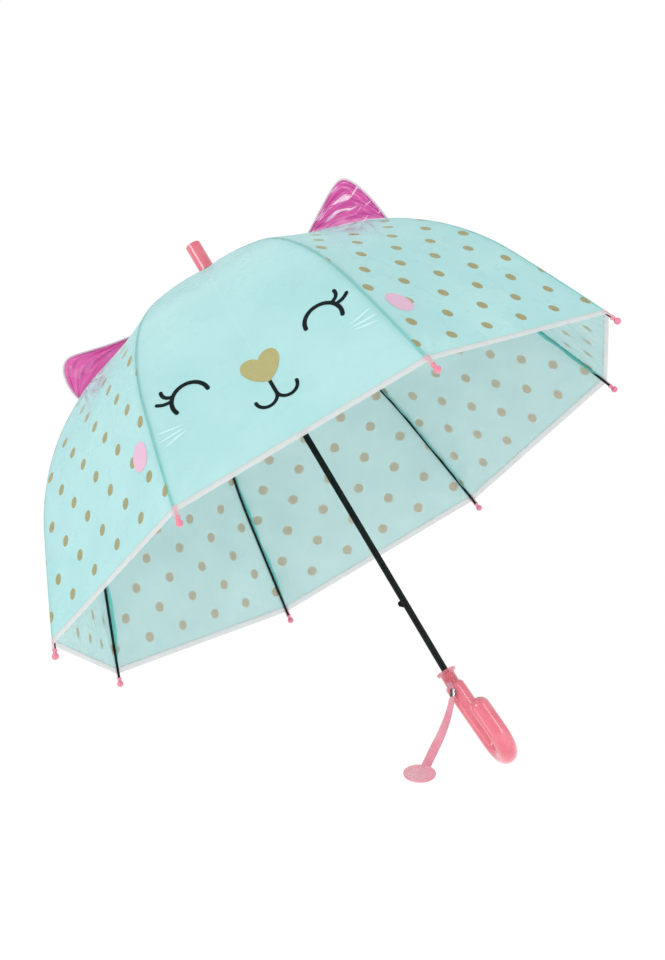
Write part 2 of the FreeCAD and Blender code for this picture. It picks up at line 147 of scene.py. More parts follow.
def ring_at(centre, side, front, half_width, half_depth, count=16, squareness=2.0):
    """A rounded outline about a centre: an ellipse at squareness 2, squarer above it."""
    ring = []
    for i in range(count):
        a = 2 * math.pi * i / count
        c, s = math.cos(a), math.sin(a)
        x = math.copysign(abs(c) ** (2 / squareness), c) * half_width
        y = math.copysign(abs(s) ** (2 / squareness), s) * half_depth
        ring.append(centre + side * x + front * y)
    return ring


def tube(points, radius, front, count):
    """A round closed tube along points; front is any direction that the tube never runs along."""
    rings = []
    for i, p in enumerate(points):
        along = points[min(i + 1, len(points) - 1)] - points[max(i - 1, 0)]
        side = along.cross(front).normalized()
        up = side.cross(along).normalized()
        rings.append(ring_at(p, side, up, radius, radius, count))
    return rings_solid(rings)


def turned_solid(profile, count=72):
    """A closed solid of revolution about the shaft from a closed outline of (radius, height)."""
    points, faces = [], []
    for i in range(count):
        a = 2 * math.pi * i / count
        points += [Vector((r * math.cos(a), r * math.sin(a), z)) for r, z in profile]
    n = len(profile)
    for i in range(count):
        for j in range(n):
            a, b = i * n + j, i * n + (j + 1) % n
            c, d = (i + 1) % count * n + (j + 1) % n, (i + 1) % count * n + j
            faces.append((a, d, c, b))
    return points, faces


def polar(radius, azimuth, height=0.0, across=0.0):
    """A point at a radius and height over an azimuth, moved across it."""
    a = math.radians(azimuth)
    return Vector((
        radius * math.cos(a) - across * math.sin(a),
        radius * math.sin(a) + across * math.cos(a),
        height,
    ))


# --- material helpers ---


class Shader:
    """A material's nodes, with short calls to add and join them."""

    def __init__(self, name):
        self.material = bpy.data.materials.new(name)
        self.material.use_nodes = True
        self.tree = self.material.node_tree
        self.tree.nodes.clear()
        self.coordinates = self.add("ShaderNodeTexCoord").outputs["Object"]

    def add(self, kind, inputs=(), **settings):
        node = self.tree.nodes.new(kind)
        for key, value in settings.items():
            setattr(node, key, value)
        for key, value in dict(inputs).items():
            if isinstance(value, bpy.types.NodeSocket):
                self.tree.links.new(value, node.inputs[key])
            else:
                node.inputs[key].default_value = value
        return node

    def math(self, operation, a, b=0.0, clamp=False):
        return self.add("ShaderNodeMath", {0: a, 1: b}, operation=operation, use_clamp=clamp).outputs[0]

    def vector(self, operation, a, b=(0, 0, 0), c=(0, 0, 0)):
        node = self.add("ShaderNodeVectorMath", {0: a, 1: b}, operation=operation)
        if operation == "WRAP":
            node.inputs[2].default_value = c
        return node.outputs["Value"] if operation == "LENGTH" else node.outputs["Vector"]

    def range(self, value, low, high, to_low=0.0, to_high=1.0):
        inputs = {0: value, 1: low, 2: high, 3: to_low, 4: to_high}
        return self.add("ShaderNodeMapRange", inputs, clamp=True).outputs[0]

    def mix(self, factor, a, b):
        """A colour between two colours."""
        inputs = {0: factor, 6: rgba(a), 7: rgba(b)}
        return self.add("ShaderNodeMix", inputs, data_type="RGBA").outputs[2]

    def noise(self, size, detail=3.0, stretch=(1, 1, 1), where=None):
        """Noise with features of about size millimetres, 0 to 1."""
        vector = self.vector("MULTIPLY", where or self.coordinates, stretch)
        inputs = {"Vector": vector, "Scale": 1 / (size * MM), "Detail": detail}
        return self.add("ShaderNodeTexNoise", inputs).outputs[0]

    def wide_noise(self, size):
        """A noise vector with features of about size millimetres."""
        inputs = {"Vector": self.coordinates, "Scale": 1 / (size * MM), "Detail": 1.0}
        return self.add("ShaderNodeTexNoise", inputs).outputs[1]

    def bump(self, height, depth, strength=1.0):
        inputs = {"Height": height, "Distance": depth * MM, "Strength": strength}
        return self.add("ShaderNodeBump", inputs).outputs[0]

    def principled(self, colour, **inputs):
        named = {key.replace("_", " "): value for key, value in inputs.items()}
        return self.add("ShaderNodeBsdfPrincipled", {"Base Color": rgba(colour), **named}).outputs[0]

    def glow(self, colour):
        """Light that passes through thin film."""
        return self.add("ShaderNodeBsdfTranslucent", {"Color": rgba(colour)}).outputs[0]

    def clear(self):
        return self.add("ShaderNodeBsdfTransparent").outputs[0]

    def print_place(self):
        """The point's place on its gore's print, and its distance to the seam."""
        return self.add("ShaderNodeAttribute", attribute_name="print").outputs["Vector"]

    def blend(self, factor, a, b):
        """A surface between two surfaces."""
        return self.add("ShaderNodeMixShader", {0: factor, 1: a, 2: b}).outputs[0]

    def finish(self, surface):
        self.add("ShaderNodeOutputMaterial", {"Surface": surface})
        return self.material


def rgba(colour):
    return colour if isinstance(colour, bpy.types.NodeSocket) else (*colour, 1.0)


def srgb(text):
    """Linear colour of an sRGB hex text."""
    parts = [int(text[i:i + 2], 16) / 255 for i in (0, 2, 4)]
    return tuple(c / 12.92 if c < 0.04045 else ((c + 0.055) / 1.055) ** 2.4 for c in parts)


# --- materials ---
MINT = srgb("b7e1e2")
MINT_PALE = srgb("bfe6e6")
SEAM_TURQUOISE = srgb("98dadb")
SEAM_CYAN = srgb("8ce6df")
GOLD_INK = srgb("918e63")
GOLD_INK_PALE = srgb("a29e70")
DOT_RADIUS = 5.7
DOT_SPACING = (50.0, 58.6)  # across the gore, and along the rib
DOT_ROW = 423.7  # length along the rib of a row with a dot on the gore's middle
TRANSLUCENCY = 0.45
FAN_DEPTH = 45.0  # the painted highlights and shade of the ears' wrinkles meet this far behind the seam
PRINT_SHIFTS = {  # gore: how far its print sits across and along, and how far it leans
    2: (-3.0, 1.5, 0.038),
    4: (3.5, 0.5, 0.0),
    5: (5.0, 0.0, 0.0),
    8: (0.0, -1.0, -0.045),
}
VEIL_COVER = 0.68  # how much of the milky inner face is seen over what lies behind
# painted shade and painted highlights of the wrinkles beside the ears
WRINKLE_PAINTED_SHADE_GREY = srgb("c6dadd")
WRINKLE_PAINTED_SHADE = srgb("b99fb2")
WRINKLE_PAINTED_HIGHLIGHT = srgb("eef2f4")
# a painted highlight along the fold of the face gore
FOLD_PAINTED_HIGHLIGHT = srgb("e2f6f5")
VEIL_MILK = (srgb("dde8e7"), srgb("e4eeec"))
VEIL_DOT = srgb("f0ebe2")
# the painted highlight on the ears' creases
EAR_PAINTED_GLARE = srgb("fbe3f2")


def dot_mask(sh, place, radius, soft=0.2):
    """1 inside the printed dots, which stand in two staggered grids."""
    size = (*DOT_SPACING, 1.0)
    cell = sh.vector("DIVIDE", sh.vector("SUBTRACT", place, (0, DOT_ROW, 0)), size)
    near = []
    for shift in ((0, 0, 0), (0.5, 0.5, 0)):
        moved = sh.vector("WRAP", sh.vector("ADD", cell, shift), (0.5, 0.5, 0.5), (-0.5, -0.5, -0.5))
        near.append(sh.vector("LENGTH", sh.vector("MULTIPLY", moved, (*DOT_SPACING, 0))))
    distance = sh.math("MINIMUM", *near)
    uneven = sh.math("MULTIPLY", sh.math("SUBTRACT", sh.noise(1.5), 0.5), 0.2)
    distance = sh.math("ADD", distance, uneven)
    return sh.range(distance, radius + soft, radius - soft)


def ear_wrinkle_painted_light(sh, colour, x, s, edge, middle, side):
    """Painted highlights and painted shade of fine wrinkles that fan out from an ear sewn into the seam on
    one side of the gore.
    """
    fan = sh.math("DIVIDE", sh.math("SUBTRACT", s, middle), sh.math("ADD", edge, FAN_DEPTH))
    area = sh.math("MULTIPLY", sh.range(edge, 105.0, 35.0), sh.range(sh.math("ABSOLUTE", fan), 1.1, 0.7))
    area = sh.math("MULTIPLY", area, sh.range(sh.math("MULTIPLY", x, side), 0.0, 8.0))
    place = sh.add("ShaderNodeCombineXYZ", {
        0: sh.math("MULTIPLY", fan, FAN_DEPTH * MM), 1: sh.math("MULTIPLY", edge, 0.06 * MM),
    }).outputs[0]
    streaks = sh.noise(3.2, 2.0, (1, 1, 1), place)
    # a grey wash of painted shade over the area, then painted shade and painted highlights along the streaks
    colour = sh.mix(sh.math("MULTIPLY", area, 0.45), colour, WRINKLE_PAINTED_SHADE_GREY)
    dark = sh.math("MULTIPLY", area, sh.range(streaks, 0.53, 0.63, 0.0, 0.8))
    light = sh.math("MULTIPLY", area, sh.range(streaks, 0.45, 0.36, 0.0, 0.8))
    return sh.mix(light, sh.mix(dark, colour, WRINKLE_PAINTED_SHADE), WRINKLE_PAINTED_HIGHLIGHT)


def film_print(name, dots, ear=None):
    """The film's outer face, with its print."""
    sh = Shader(name)
    place = sh.print_place()
    x, s, edge = (sh.add("ShaderNodeSeparateXYZ", {0: place}).outputs[i] for i in range(3))
    cloud = sh.range(sh.noise(70.0, 2.0), 0.35, 0.65)
    colour = sh.mix(cloud, MINT, MINT_PALE)
    colour = sh.mix(sh.range(edge, 14.0, 0.0, 0.0, 0.35), colour, MINT)
    seam = sh.mix(sh.range(s, 330.0, 430.0), SEAM_TURQUOISE, SEAM_CYAN)
    colour = sh.mix(sh.range(edge, 1.9, 1.2, 0.0, 0.7), colour, seam)
    if dots:
        speck = sh.range(sh.noise(0.7, 1.0), 0.4, 0.62)
        ink = sh.mix(speck, GOLD_INK, GOLD_INK_PALE)
        mask = dot_mask(sh, place, DOT_RADIUS)
        colour = sh.mix(mask, colour, ink)
        # painted highlights and shade of the wrinkles beside an ear
        if ear:
            colour = ear_wrinkle_painted_light(sh, colour, x, s, edge, *ear)
        through = sh.range(mask, 0.0, 1.0, TRANSLUCENCY, 0.12)
    else:
        # a painted highlight along the fold down the gore's middle, above the nose
        crease = sh.range(sh.math("ABSOLUTE", x), 0.6, 0.1)
        crease = sh.math("MULTIPLY", crease, sh.range(s, 372.0, 366.0, 0.0, 0.3))
        colour = sh.mix(crease, colour, FOLD_PAINTED_HIGHLIGHT)
        through = TRANSLUCENCY
    rough = sh.range(sh.noise(18.0), 0.3, 0.7, 0.24, 0.36)
    normal = sh.bump(sh.noise(14.0, 2.0), 0.2, 0.1)
    face = sh.principled(colour, Roughness=rough, Normal=normal, Specular_IOR_Level=0.3)
    glow = sh.glow(colour)
    return sh.finish(sh.blend(through, face, glow))


def film_veil(name, dots):
    """The film's inner face: a milky layer that washes out the print behind it."""
    sh = Shader(name)
    colour = sh.mix(sh.range(sh.noise(60.0, 2.0), 0.35, 0.65), *VEIL_MILK)
    if dots:
        place = sh.print_place()
        colour = sh.mix(dot_mask(sh, place, DOT_RADIUS + 0.8, 0.4), colour, VEIL_DOT)
    rough = sh.range(sh.noise(18.0), 0.3, 0.7, 0.22, 0.34)
    normal = sh.bump(sh.noise(14.0, 2.0), 0.2, 0.1)
    face = sh.principled(colour, Roughness=rough, Normal=normal, Specular_IOR_Level=0.2)
    glow = sh.glow(colour)
    clear = sh.clear()
    return sh.finish(sh.blend(VEIL_COVER, clear, sh.blend(0.45, face, glow)))


def clear_film(name, tint, cover, rough=0.12):
    """Thin clear vinyl: cover is how much of it is seen over what lies behind."""
    sh = Shader(name)
    streak = sh.range(sh.noise(30.0, 2.0), 0.3, 0.7, cover * 0.92, min(1.0, cover * 1.08))
    normal = sh.bump(sh.noise(12.0, 2.0), 0.3, 0.3)
    face = sh.principled(tint, Roughness=rough, Normal=normal)
    glow = sh.glow(tint)
    clear = sh.clear()
    return sh.finish(sh.blend(streak, clear, sh.blend(0.4, face, glow)))


def ink(name, colour, rough=0.35):
    """Printed ink with a slightly uneven coat."""
    sh = Shader(name)
    shade = sh.mix(sh.range(sh.noise(2.5), 0.3, 0.7), tuple(c * 0.93 for c in colour), colour)
    return sh.finish(sh.principled(shade, Roughness=rough, Specular_IOR_Level=0.12))


def ear_vinyl(name, deep, light, cover, stretch):
    """Bright crinkled film of the ears, whitened along the creases by a painted highlight; cover is how
    white the painted highlight makes the creases.
    """
    sh = Shader(name)
    tone = sh.range(sh.noise(22.0, 2.0), 0.3, 0.7)
    colour = sh.mix(tone, deep, light)
    warp = sh.vector("ADD", sh.coordinates, sh.vector("MULTIPLY", sh.wide_noise(30.0), (0.02, 0.02, 0.02)))
    creases = sh.noise(13.0, 2.0, stretch, warp)
    # a painted highlight along the creases
    painted_glare = sh.range(creases, 0.59, 0.64, 0.0, cover)
    colour = sh.mix(painted_glare, colour, EAR_PAINTED_GLARE)
    normal = sh.bump(creases, 2.0, 0.3)
    face = sh.principled(colour, Roughness=0.25, Normal=normal, Coat_Weight=0.3, Coat_Roughness=0.08)
    glow = sh.glow(colour)
    return sh.finish(sh.blend(0.25, face, glow))


def moulded(name, deep, light, rough=0.18):
    """Glossy moulded plastic with faint flow marks."""
    sh = Shader(name)
    flow = sh.range(sh.noise(9.0, 3.0, (1, 1, 0.35)), 0.3, 0.7)
    colour = sh.mix(flow, deep, light)
    gloss = sh.range(sh.noise(3.0), 0.3, 0.7, rough, rough + 0.08)
    return sh.finish(sh.principled(colour, Roughness=gloss, Coat_Weight=0.6, Coat_Roughness=0.05))


def painted_steel(name, colour, rough):
    """Stoved paint on steel: fine orange peel and a few dull patches."""
    sh = Shader(name)
    shade = sh.mix(sh.range(sh.noise(6.0), 0.4, 0.7), colour, tuple(c * 1.5 + 0.001 for c in colour))
    gloss = sh.range(sh.noise(4.0), 0.3, 0.7, rough, rough + 0.1)
    return sh.finish(sh.principled(shade, Roughness=gloss, Specular_IOR_Level=0.14))


def pressed_metal(name, dark, light):
    """Pressed nickelled steel with fine scratches."""
    sh = Shader(name)
    scratch = sh.noise(1.5, 2.0, (1, 1, 0.3))
    shade = sh.mix(sh.range(scratch, 0.35, 0.65), (dark,) * 3, (light,) * 3)
    gloss = sh.range(scratch, 0.3, 0.7, 0.14, 0.22)
    return sh.finish(sh.principled(shade, Metallic=1.0, Roughness=gloss))


PLAIN_FILM = film_print("film_plain", dots=False)
DOTTED_FILM = film_print("film_dotted", dots=True)
EAR_FILMS = {  # gore: its film, with painted highlights and shade of wrinkles fanning from the middle of an ear's base on the seam before or after it
    2: film_print("film_dotted_2", True, (148.0, 1)), 3: film_print("film_dotted_3", True, (148.0, -1)),
    7: film_print("film_dotted_7", True, (155.5, 1)), 8: film_print("film_dotted_8", True, (155.5, -1)),
}
PLAIN_VEIL = film_veil("film_inner_plain", dots=False)
DOTTED_VEIL = film_veil("film_inner_dotted", dots=True)
HEM_FILM = clear_film("hem_film", srgb("e2e3e3"), 0.7, 0.3)
FIN_FILM = clear_film("seam_fin_film", srgb("93e6e0"), 0.7)
PIPING_FILM = clear_film("piping_film", srgb("eadfe8"), 0.85)
TAB_FILM = clear_film("corner_tab_film", srgb("f9d3db"), 0.65)
BLACK_INK = ink("black_ink", srgb("081619"))
GOLD_PRINT = ink("gold_ink", srgb("aba672"))
PINK_PRINT = ink("pink_ink", srgb("d8b1c7"))
WHITE_PRINT = ink("white_ink", srgb("bfe5e5"))
EAR_VINYL = {
    "right": ear_vinyl("ear_vinyl_right", srgb("d94aa8"), srgb("e463b8"), 0.8, (0.4, 0.4, 2.8)),
    "left": ear_vinyl("ear_vinyl_left", srgb("e95fb6"), srgb("f173c2"), 0.12, (0.7, 0.7, 0.9)),
}
CORAL = moulded("coral_plastic", srgb("d96072"), srgb("e27687"))
TIP_PINK = moulded("tip_plastic", srgb("d76f8a"), srgb("e08299"))
CORAL_CLEAR = clear_film("coral_clear_plastic", srgb("ee8e9b"), 0.6, 0.08)
CORAL_DEEP = moulded("coral_deep", srgb("d9304f"), srgb("e44a63"), 0.25)
STRAP_VINYL = moulded("strap_vinyl", srgb("cf7a8c"), srgb("da91a1"), 0.3)
# a lighter copy of the strap vinyl, painted light on the disc's two faces
DISC_FACE_PAINTED_LIGHT = moulded("disc_vinyl_painted_light", srgb("f0a0ae"), srgb("f4afbb"), 0.3)
BLACK_PAINT = painted_steel("black_paint", (0.004, 0.006, 0.006), 0.3)
RIB_PAINT = painted_steel("rib_paint", (0.004, 0.005, 0.005), 0.35)
BLACK_PLASTIC = painted_steel("black_plastic", (0.008, 0.009, 0.009), 0.45)
CRIMP_METAL = pressed_metal("crimp_metal", 0.05, 0.12)
# a bright copy of the crimp's metal that paints its highlight
CRIMP_PAINTED_HIGHLIGHT = pressed_metal("crimp_painted_highlight", 0.6, 0.75)

# --- camera ---
CAMERA_AT = Vector((17.4, -1952.5, -197.9)) * MM
CAMERA_FORWARD = Vector((-0.00846, 0.96982, 0.24367))
CAMERA_DOWN = Vector((-0.51226, 0.20507, -0.83399))
CAMERA_LENS = 71.46


def add_camera():
    camera = put("camera", bpy.data.cameras.new("camera"))
    back = -CAMERA_FORWARD.normalized()
    right = back.cross(CAMERA_DOWN).normalized()
    up = back.cross(right)
    turn = Matrix((right, up, back)).transposed()
    camera.matrix_world = Matrix.Translation(CAMERA_AT) @ turn.to_4x4()
    camera.data.lens = CAMERA_LENS
    camera.data.clip_end = 50.0
    bpy.context.scene.camera = camera


# --- wrist strap ---
STRAP_EXIT = Vector((-3.0, -7.0, 45.0))
STRAP_ACROSS = Vector((0.8588, 0.1319, -0.4951))
STRAP_DOWN = Vector((-0.5123, 0.2051, -0.8340))
STRAP_FRONT = Vector((0.0085, -0.9698, -0.2437))
STRAP_STAND_OFF = 8.5
STRAP_ROUTE = ((3.3, 5.5), (3.3, 13.2), (-0.4, 31.0), (-7.2, 50.0), (-16.0, 68.0), (-23.9, 84.5))
STRAP_THICKNESS = 1.5
STRAP_GATHERED = 4.8  # widths in the crimp, just below it, and how much wider at the disc
STRAP_NARROW = 5.6
STRAP_FLARE = 4.0
STRAP_FLARE_LENGTH = 62.0
CRIMP_END = 19.0  # length along the strap where it leaves the crimp
CRIMP_HALF = (2.9, 1.6)
CRIMP_PROFILE = (  # share of the crimp's length, and how much wider it is there
    (0.0, -0.45), (0.02, -0.12), (0.07, 0.0), (0.42, 0.0), (0.46, -0.25), (0.54, -0.25),
    (0.58, 0.0), (0.93, 0.0), (0.98, -0.12), (1.0, -0.45),
)
CRIMP_HIGHLIGHT_BAND = (-2.3, -0.3)  # the band painted as a highlight, off the crimp's middle
FRONT_FACING = 0.3  # a face turned to the front by at least this is part of the painted highlight band
DISC_FACING = 0.8  # a face turned to the disc's axis by more than this is on its two sides, which get a lighter copy of the vinyl as painted light
DISC_CENTRE = (-30.7, 89.8)
DISC_FORWARD = 11.9
DISC_TILT = 69.3
DISC_RADIUS = 16.5
DISC_HEIGHT = 3.2


def strap_point(place, front=0.0):
    """A point of the strap's plane, given as (across, down)."""
    plane = STRAP_EXIT + STRAP_FRONT * STRAP_STAND_OFF
    return plane + STRAP_ACROSS * place[0] + STRAP_DOWN * place[1] + STRAP_FRONT * front


def strap_line():
    """The strap's centre line, read from one smooth spline over its route."""
    curve = bpy.data.curves.new("strap_route", "CURVE")
    curve.dimensions = "3D"
    spline = curve.splines.new("NURBS")
    route = [STRAP_EXIT] + [strap_point(p) for p in STRAP_ROUTE]
    spline.points.add(len(route) - 1)
    for point, place in zip(spline.points, route):
        point.co = (*(place * MM), 1.0)
    spline.order_u = 3
    spline.use_endpoint_u = True
    spline.resolution_u = 16
    holder = bpy.data.objects.new("strap_route", curve)
    line = bpy.data.meshes.new_from_object(holder)
    points = [v.co / MM for v in line.vertices]
    bpy.data.objects.remove(holder)
    bpy.data.meshes.remove(line)
    return points


def strap_width(length):
    """The strap's width at a length from its exit: gathered in the crimp, wide at the disc."""
    if length < CRIMP_END:
        return STRAP_GATHERED
    share = min(1.0, (length - CRIMP_END) / STRAP_FLARE_LENGTH)
    return STRAP_NARROW + STRAP_FLARE * math.sin(share * math.pi / 2) ** 1.2


def add_strap():
    line = strap_line()
    rings, length = [], 0.0
    for i, p in enumerate(line):
        if i:
            length += (p - line[i - 1]).length
        along = (line[min(i + 1, len(line) - 1)] - line[max(i - 1, 0)]).normalized()
        side = along.cross(STRAP_FRONT).normalized()
        up = side.cross(along).normalized()
        width = strap_width(length)
        rings.append(ring_at(p, side, up, width / 2, STRAP_THICKNESS / 2, 24, 3.5))
    points, faces = rings_solid(rings)
    strap = mesh_piece("strap_ribbon", points, faces, [STRAP_VINYL], "frame")
    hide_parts("strap")
    crimp = add_crimp()
    disc = add_disc()


def add_crimp():
    """A pressed metal clip: a flat band with rolled edges and a rib across its front."""
    top, bottom = strap_point(STRAP_ROUTE[0]), strap_point(STRAP_ROUTE[1])
    along = bottom - top
    side = along.cross(STRAP_FRONT).normalized()
    rings = []
    wide, deep = CRIMP_HALF
    for share, grow in CRIMP_PROFILE:
        centre = top + along * share
        rings.append(ring_at(centre, side, STRAP_FRONT, wide + grow, deep + grow, 32, 2.8))
    points, faces = rings_solid(rings)
    crimp = mesh_piece("strap_clip", points, faces, [CRIMP_METAL, CRIMP_PAINTED_HIGHLIGHT], "frame")
    # the front faces in the band get the bright metal, a painted highlight
    for face in crimp.data.polygons:
        off = (Vector(face.center) / MM - top).dot(side)
        in_painted_highlight = CRIMP_HIGHLIGHT_BAND[0] < off < CRIMP_HIGHLIGHT_BAND[1]
        face.material_index = int(in_painted_highlight and face.normal.dot(STRAP_FRONT) > FRONT_FACING)
    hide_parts("strap_crimp")
    return crimp


def add_disc():
    """The strap's end: a moulded disc with a raised rim and a shallow dish in both faces."""
    tilt = math.radians(DISC_TILT)
    normal = (STRAP_FRONT * math.cos(tilt) - STRAP_DOWN * math.sin(tilt)).normalized()
    centre = strap_point(DISC_CENTRE, DISC_FORWARD)
    side = normal.cross(STRAP_ACROSS).normalized()
    other = normal.cross(side)
    half = DISC_HEIGHT / 2
    face = ((0.0, half - 0.55), (9.5, half - 0.55), (10.1, half - 0.38), (10.7, half - 0.55),
            (14.3, half - 0.5), (14.9, half - 0.1), (15.4, half), (16.0, half - 0.15),
            (DISC_RADIUS, half - 0.7))
    profile = list(face) + [(r, -h) for r, h in reversed(face)]
    count, rings = 64, []
    for r, h in profile[1:-1]:
        angles = [2 * math.pi * i / count for i in range(count)]
        rings.append([centre + normal * h + (side * math.cos(a) + other * math.sin(a)) * r for a in angles])
    points, faces = rings_solid(rings)
    disc = mesh_piece("strap_end_disc", points, faces, [STRAP_VINYL, DISC_FACE_PAINTED_LIGHT], "frame")
    # the disc's two faces get the lighter vinyl, painted light against their shade
    for face in disc.data.polygons:
        face.material_index = int(abs(face.normal.dot(normal)) > DISC_FACING)
    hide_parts("strap_disc")
    return disc


# --- canopy ---
EARS = {  # rib, base from and to along the rib, height off the line, shift of the top
    "right": (3, 118.0, 211.0, 47.0, 1.5),
    "left": (8, 107.0, 204.0, 34.0, 21.0),
}


def rib_azimuth(k):
    return FIRST_RIB + (k - 1) * PITCH


def gore_azimuth(k):
    return rib_azimuth(k) + PITCH / 2


def line_at(s):
    """(radius, height, slope below the horizontal) of the canopy's line over a rib at length s."""
    r, z, slope = CROWN_RADIUS, CROWN_HEIGHT, math.radians(CROWN_SLOPE)
    for i, (length, turn) in enumerate(ARCS):
        run = s if i == len(ARCS) - 1 else min(s, length)
        curve = math.radians(turn) / length
        end = slope + curve * run
        r += (math.sin(end) - math.sin(slope)) / curve
        z += (math.cos(end) - math.cos(slope)) / curve
        slope, s = end, s - run
        if s <= 0:
            break
    return r, z, slope


def line_point(azimuth, s, inset=0.0, across=0.0):
    """A point by the canopy's line in the plane of a rib, inset into the dome."""
    r, z, slope = line_at(s)
    return polar(r - inset * math.sin(slope), azimuth, z - inset * math.cos(slope), across)


def near(distance, reach):
    """A hump that is 0 at 0, 1 at reach, and fades beyond it."""
    share = max(distance, 0.0) / reach
    return share * math.exp(1 - share)


def ease(value, low, high):
    """0 below low, 1 above high, smooth between."""
    t = min(1.0, max(0.0, (value - low) / (high - low)))
    return t * t * (3 - 2 * t)


def ear_pull(k, s, x):
    """How strongly an ear's weld pulls the film at a point of gore k."""
    pull = 0.0
    for rib, start, end, _, _ in EARS.values():
        side = {k + 1: 1, k: -1}.get(rib, 0) if k < RIBS else {1: 1, k: -1}.get(rib, 0)
        if side * x > 0:
            pull = ease(s, start - 40, start + 15) * (1 - ease(s, end - 5, end + 60))
    return pull


def relief(k, s, x, half):
    """How far gore k's film stands off its flat strip: sag, seam puckers and corner folds."""
    edge = half - abs(x)
    side = 1 if x > 0 else -1
    calm = 1 - ease(s, FILM_END - 30, CORNER)
    sag = -SAG * (1 - (x / half) ** 2) * math.sin(math.pi * min(1, max(0, s / CORNER))) ** 0.8 * calm
    beat = math.sin(s / 2.9 + 1.7 * k + side) + 0.6 * math.sin(s / 4.7 + 0.9 * k * side)
    pucker = PUCKER_DEPTH * near(edge, 7.0) * beat * ease(s, 10, 60)
    swell = SWELL_DEPTH * near(edge, 26.0) * math.sin(s / 17.0 + k * 2.1 + side * 0.8) * ease(s, 30, 90)
    pull = ear_pull(k, s, x)
    rays = math.sin(s / 3.3 + edge / 9.0 + k) + 0.7 * math.sin(s / 5.1 - edge / 14.0 + 2 * k)
    pulled = PULL_DEPTH * pull * near(edge, 14.0) * rays
    dx, ds = edge, CORNER - s
    reach = math.hypot(dx, ds)
    fan = math.sin(9.0 * math.atan2(dx, ds + 1e-6) + k + side)
    corner = CORNER_DEPTH * near(reach, 42.0) * fan * near(min(dx, 30.0), 14.0) * calm
    return sag + (pucker + swell) * calm + pulled + corner


def film_point(k, s, x, lift=0.0):
    """The film of gore k at length s along its ribs and x across it; lift is off its outer face."""
    r, z, slope = line_at(s)
    off = lift + relief(k, s, x, r * SIN_HALF)
    return polar(r * COS_HALF + off * math.sin(slope), gore_azimuth(k), z + off * math.cos(slope), x)


def fold(piece):
    """The piece, with a mesh of its own."""
    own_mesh(piece)
    return piece


def print_place(k, s, x, edge):
    """Where a point of gore k lies on its print, and how far it is from the seam."""
    across, along, lean = PRINT_SHIFTS.get(k, (0.0, 0.0, 0.0))
    return x - across - lean * (s - DOT_ROW), s - along, edge


def film_sheet(name, k, part, start, end, rows, columns):
    """A gore's film between two lengths: a thin closed sheet with a printed outer face."""
    points, places = [], []
    lengths = [start + (end - start) * i / (rows - 1) for i in range(rows)]
    for lift in (0.0, -FILM_THICKNESS):
        for s in lengths:
            half = line_at(s)[0] * SIN_HALF
            for j in range(columns):
                x = half * (2 * j / (columns - 1) - 1)
                points.append(film_point(k, s, x, lift))
                places.append(print_place(k, s, x, half - abs(x)))
    count = rows * columns
    outer = [tuple(reversed(f)) for f in grid_faces(rows, columns)]
    inner = grid_faces(rows, columns, start=count)
    rim = [(a, b, b + count, a + count) for a, b in border_edges(rows, columns)]
    skin = PLAIN_FILM if k == FACE_GORE else EAR_FILMS.get(k, DOTTED_FILM)
    veil = PLAIN_VEIL if k == FACE_GORE else DOTTED_VEIL
    film = mesh_piece(name, points, outer + inner + rim, [skin, veil], f"gore_{part}_{k}")
    film.data.polygons.foreach_set("material_index", [0] * len(outer) + [1] * (len(inner) + len(rim)))
    attribute = film.data.attributes.new("print", "FLOAT_VECTOR", "POINT")
    attribute.data.foreach_set("vector", [c for place in places for c in place])
    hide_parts(f"panel_{part}_{k}")
    return fold(film)


def gore_area(start, end, steps=60):
    """The flat area of a gore between two lengths, in square millimetres."""
    step = (end - start) / steps
    return sum(2 * line_at(start + (i + 0.5) * step)[0] * SIN_HALF * step for i in range(steps))


def gore_flat(start, end):
    """A gore's flat width and length between two lengths, in metres."""
    return 2 * line_at(end)[0] * SIN_HALF * MM, (end - start) * MM


def hem_strip(k):
    """The clear hem welded along a gore's lower edge, folded back on itself."""
    section = ((-1.0, 0.2), (0.6, 0.32), (HEM_WIDTH - 1.0, 0.32), (HEM_WIDTH - 0.25, 0.18),
               (HEM_WIDTH, -0.1), (HEM_WIDTH - 0.25, -0.38), (HEM_WIDTH - 1.0, -0.55),
               (0.6, -0.55), (-1.0, -0.48))
    columns, rings = 61, []
    for j in range(columns):
        share = 2 * j / (columns - 1) - 1
        ring = []
        for along, lift in section:
            s = FILM_END + along
            ring.append(film_point(k, s, line_at(s)[0] * SIN_HALF * share, lift))
        rings.append(ring)
    points, faces = rings_solid(rings)
    hem = mesh_piece(f"hem_{k}", points, faces, [HEM_FILM], f"gore_lower_{k}")
    return fold(hem)


FIN_SHARES = (0.0, 0.25, 0.5, 0.75, 1.0)  # of a fin's depth, at its columns of points
FIN_THICKNESS = 0.25
FIN_DEPTH = 6.2
FIN_OFFSET = -1.75  # the seam's edge stands this far beside the rib's middle
FIN_ROWS = 90


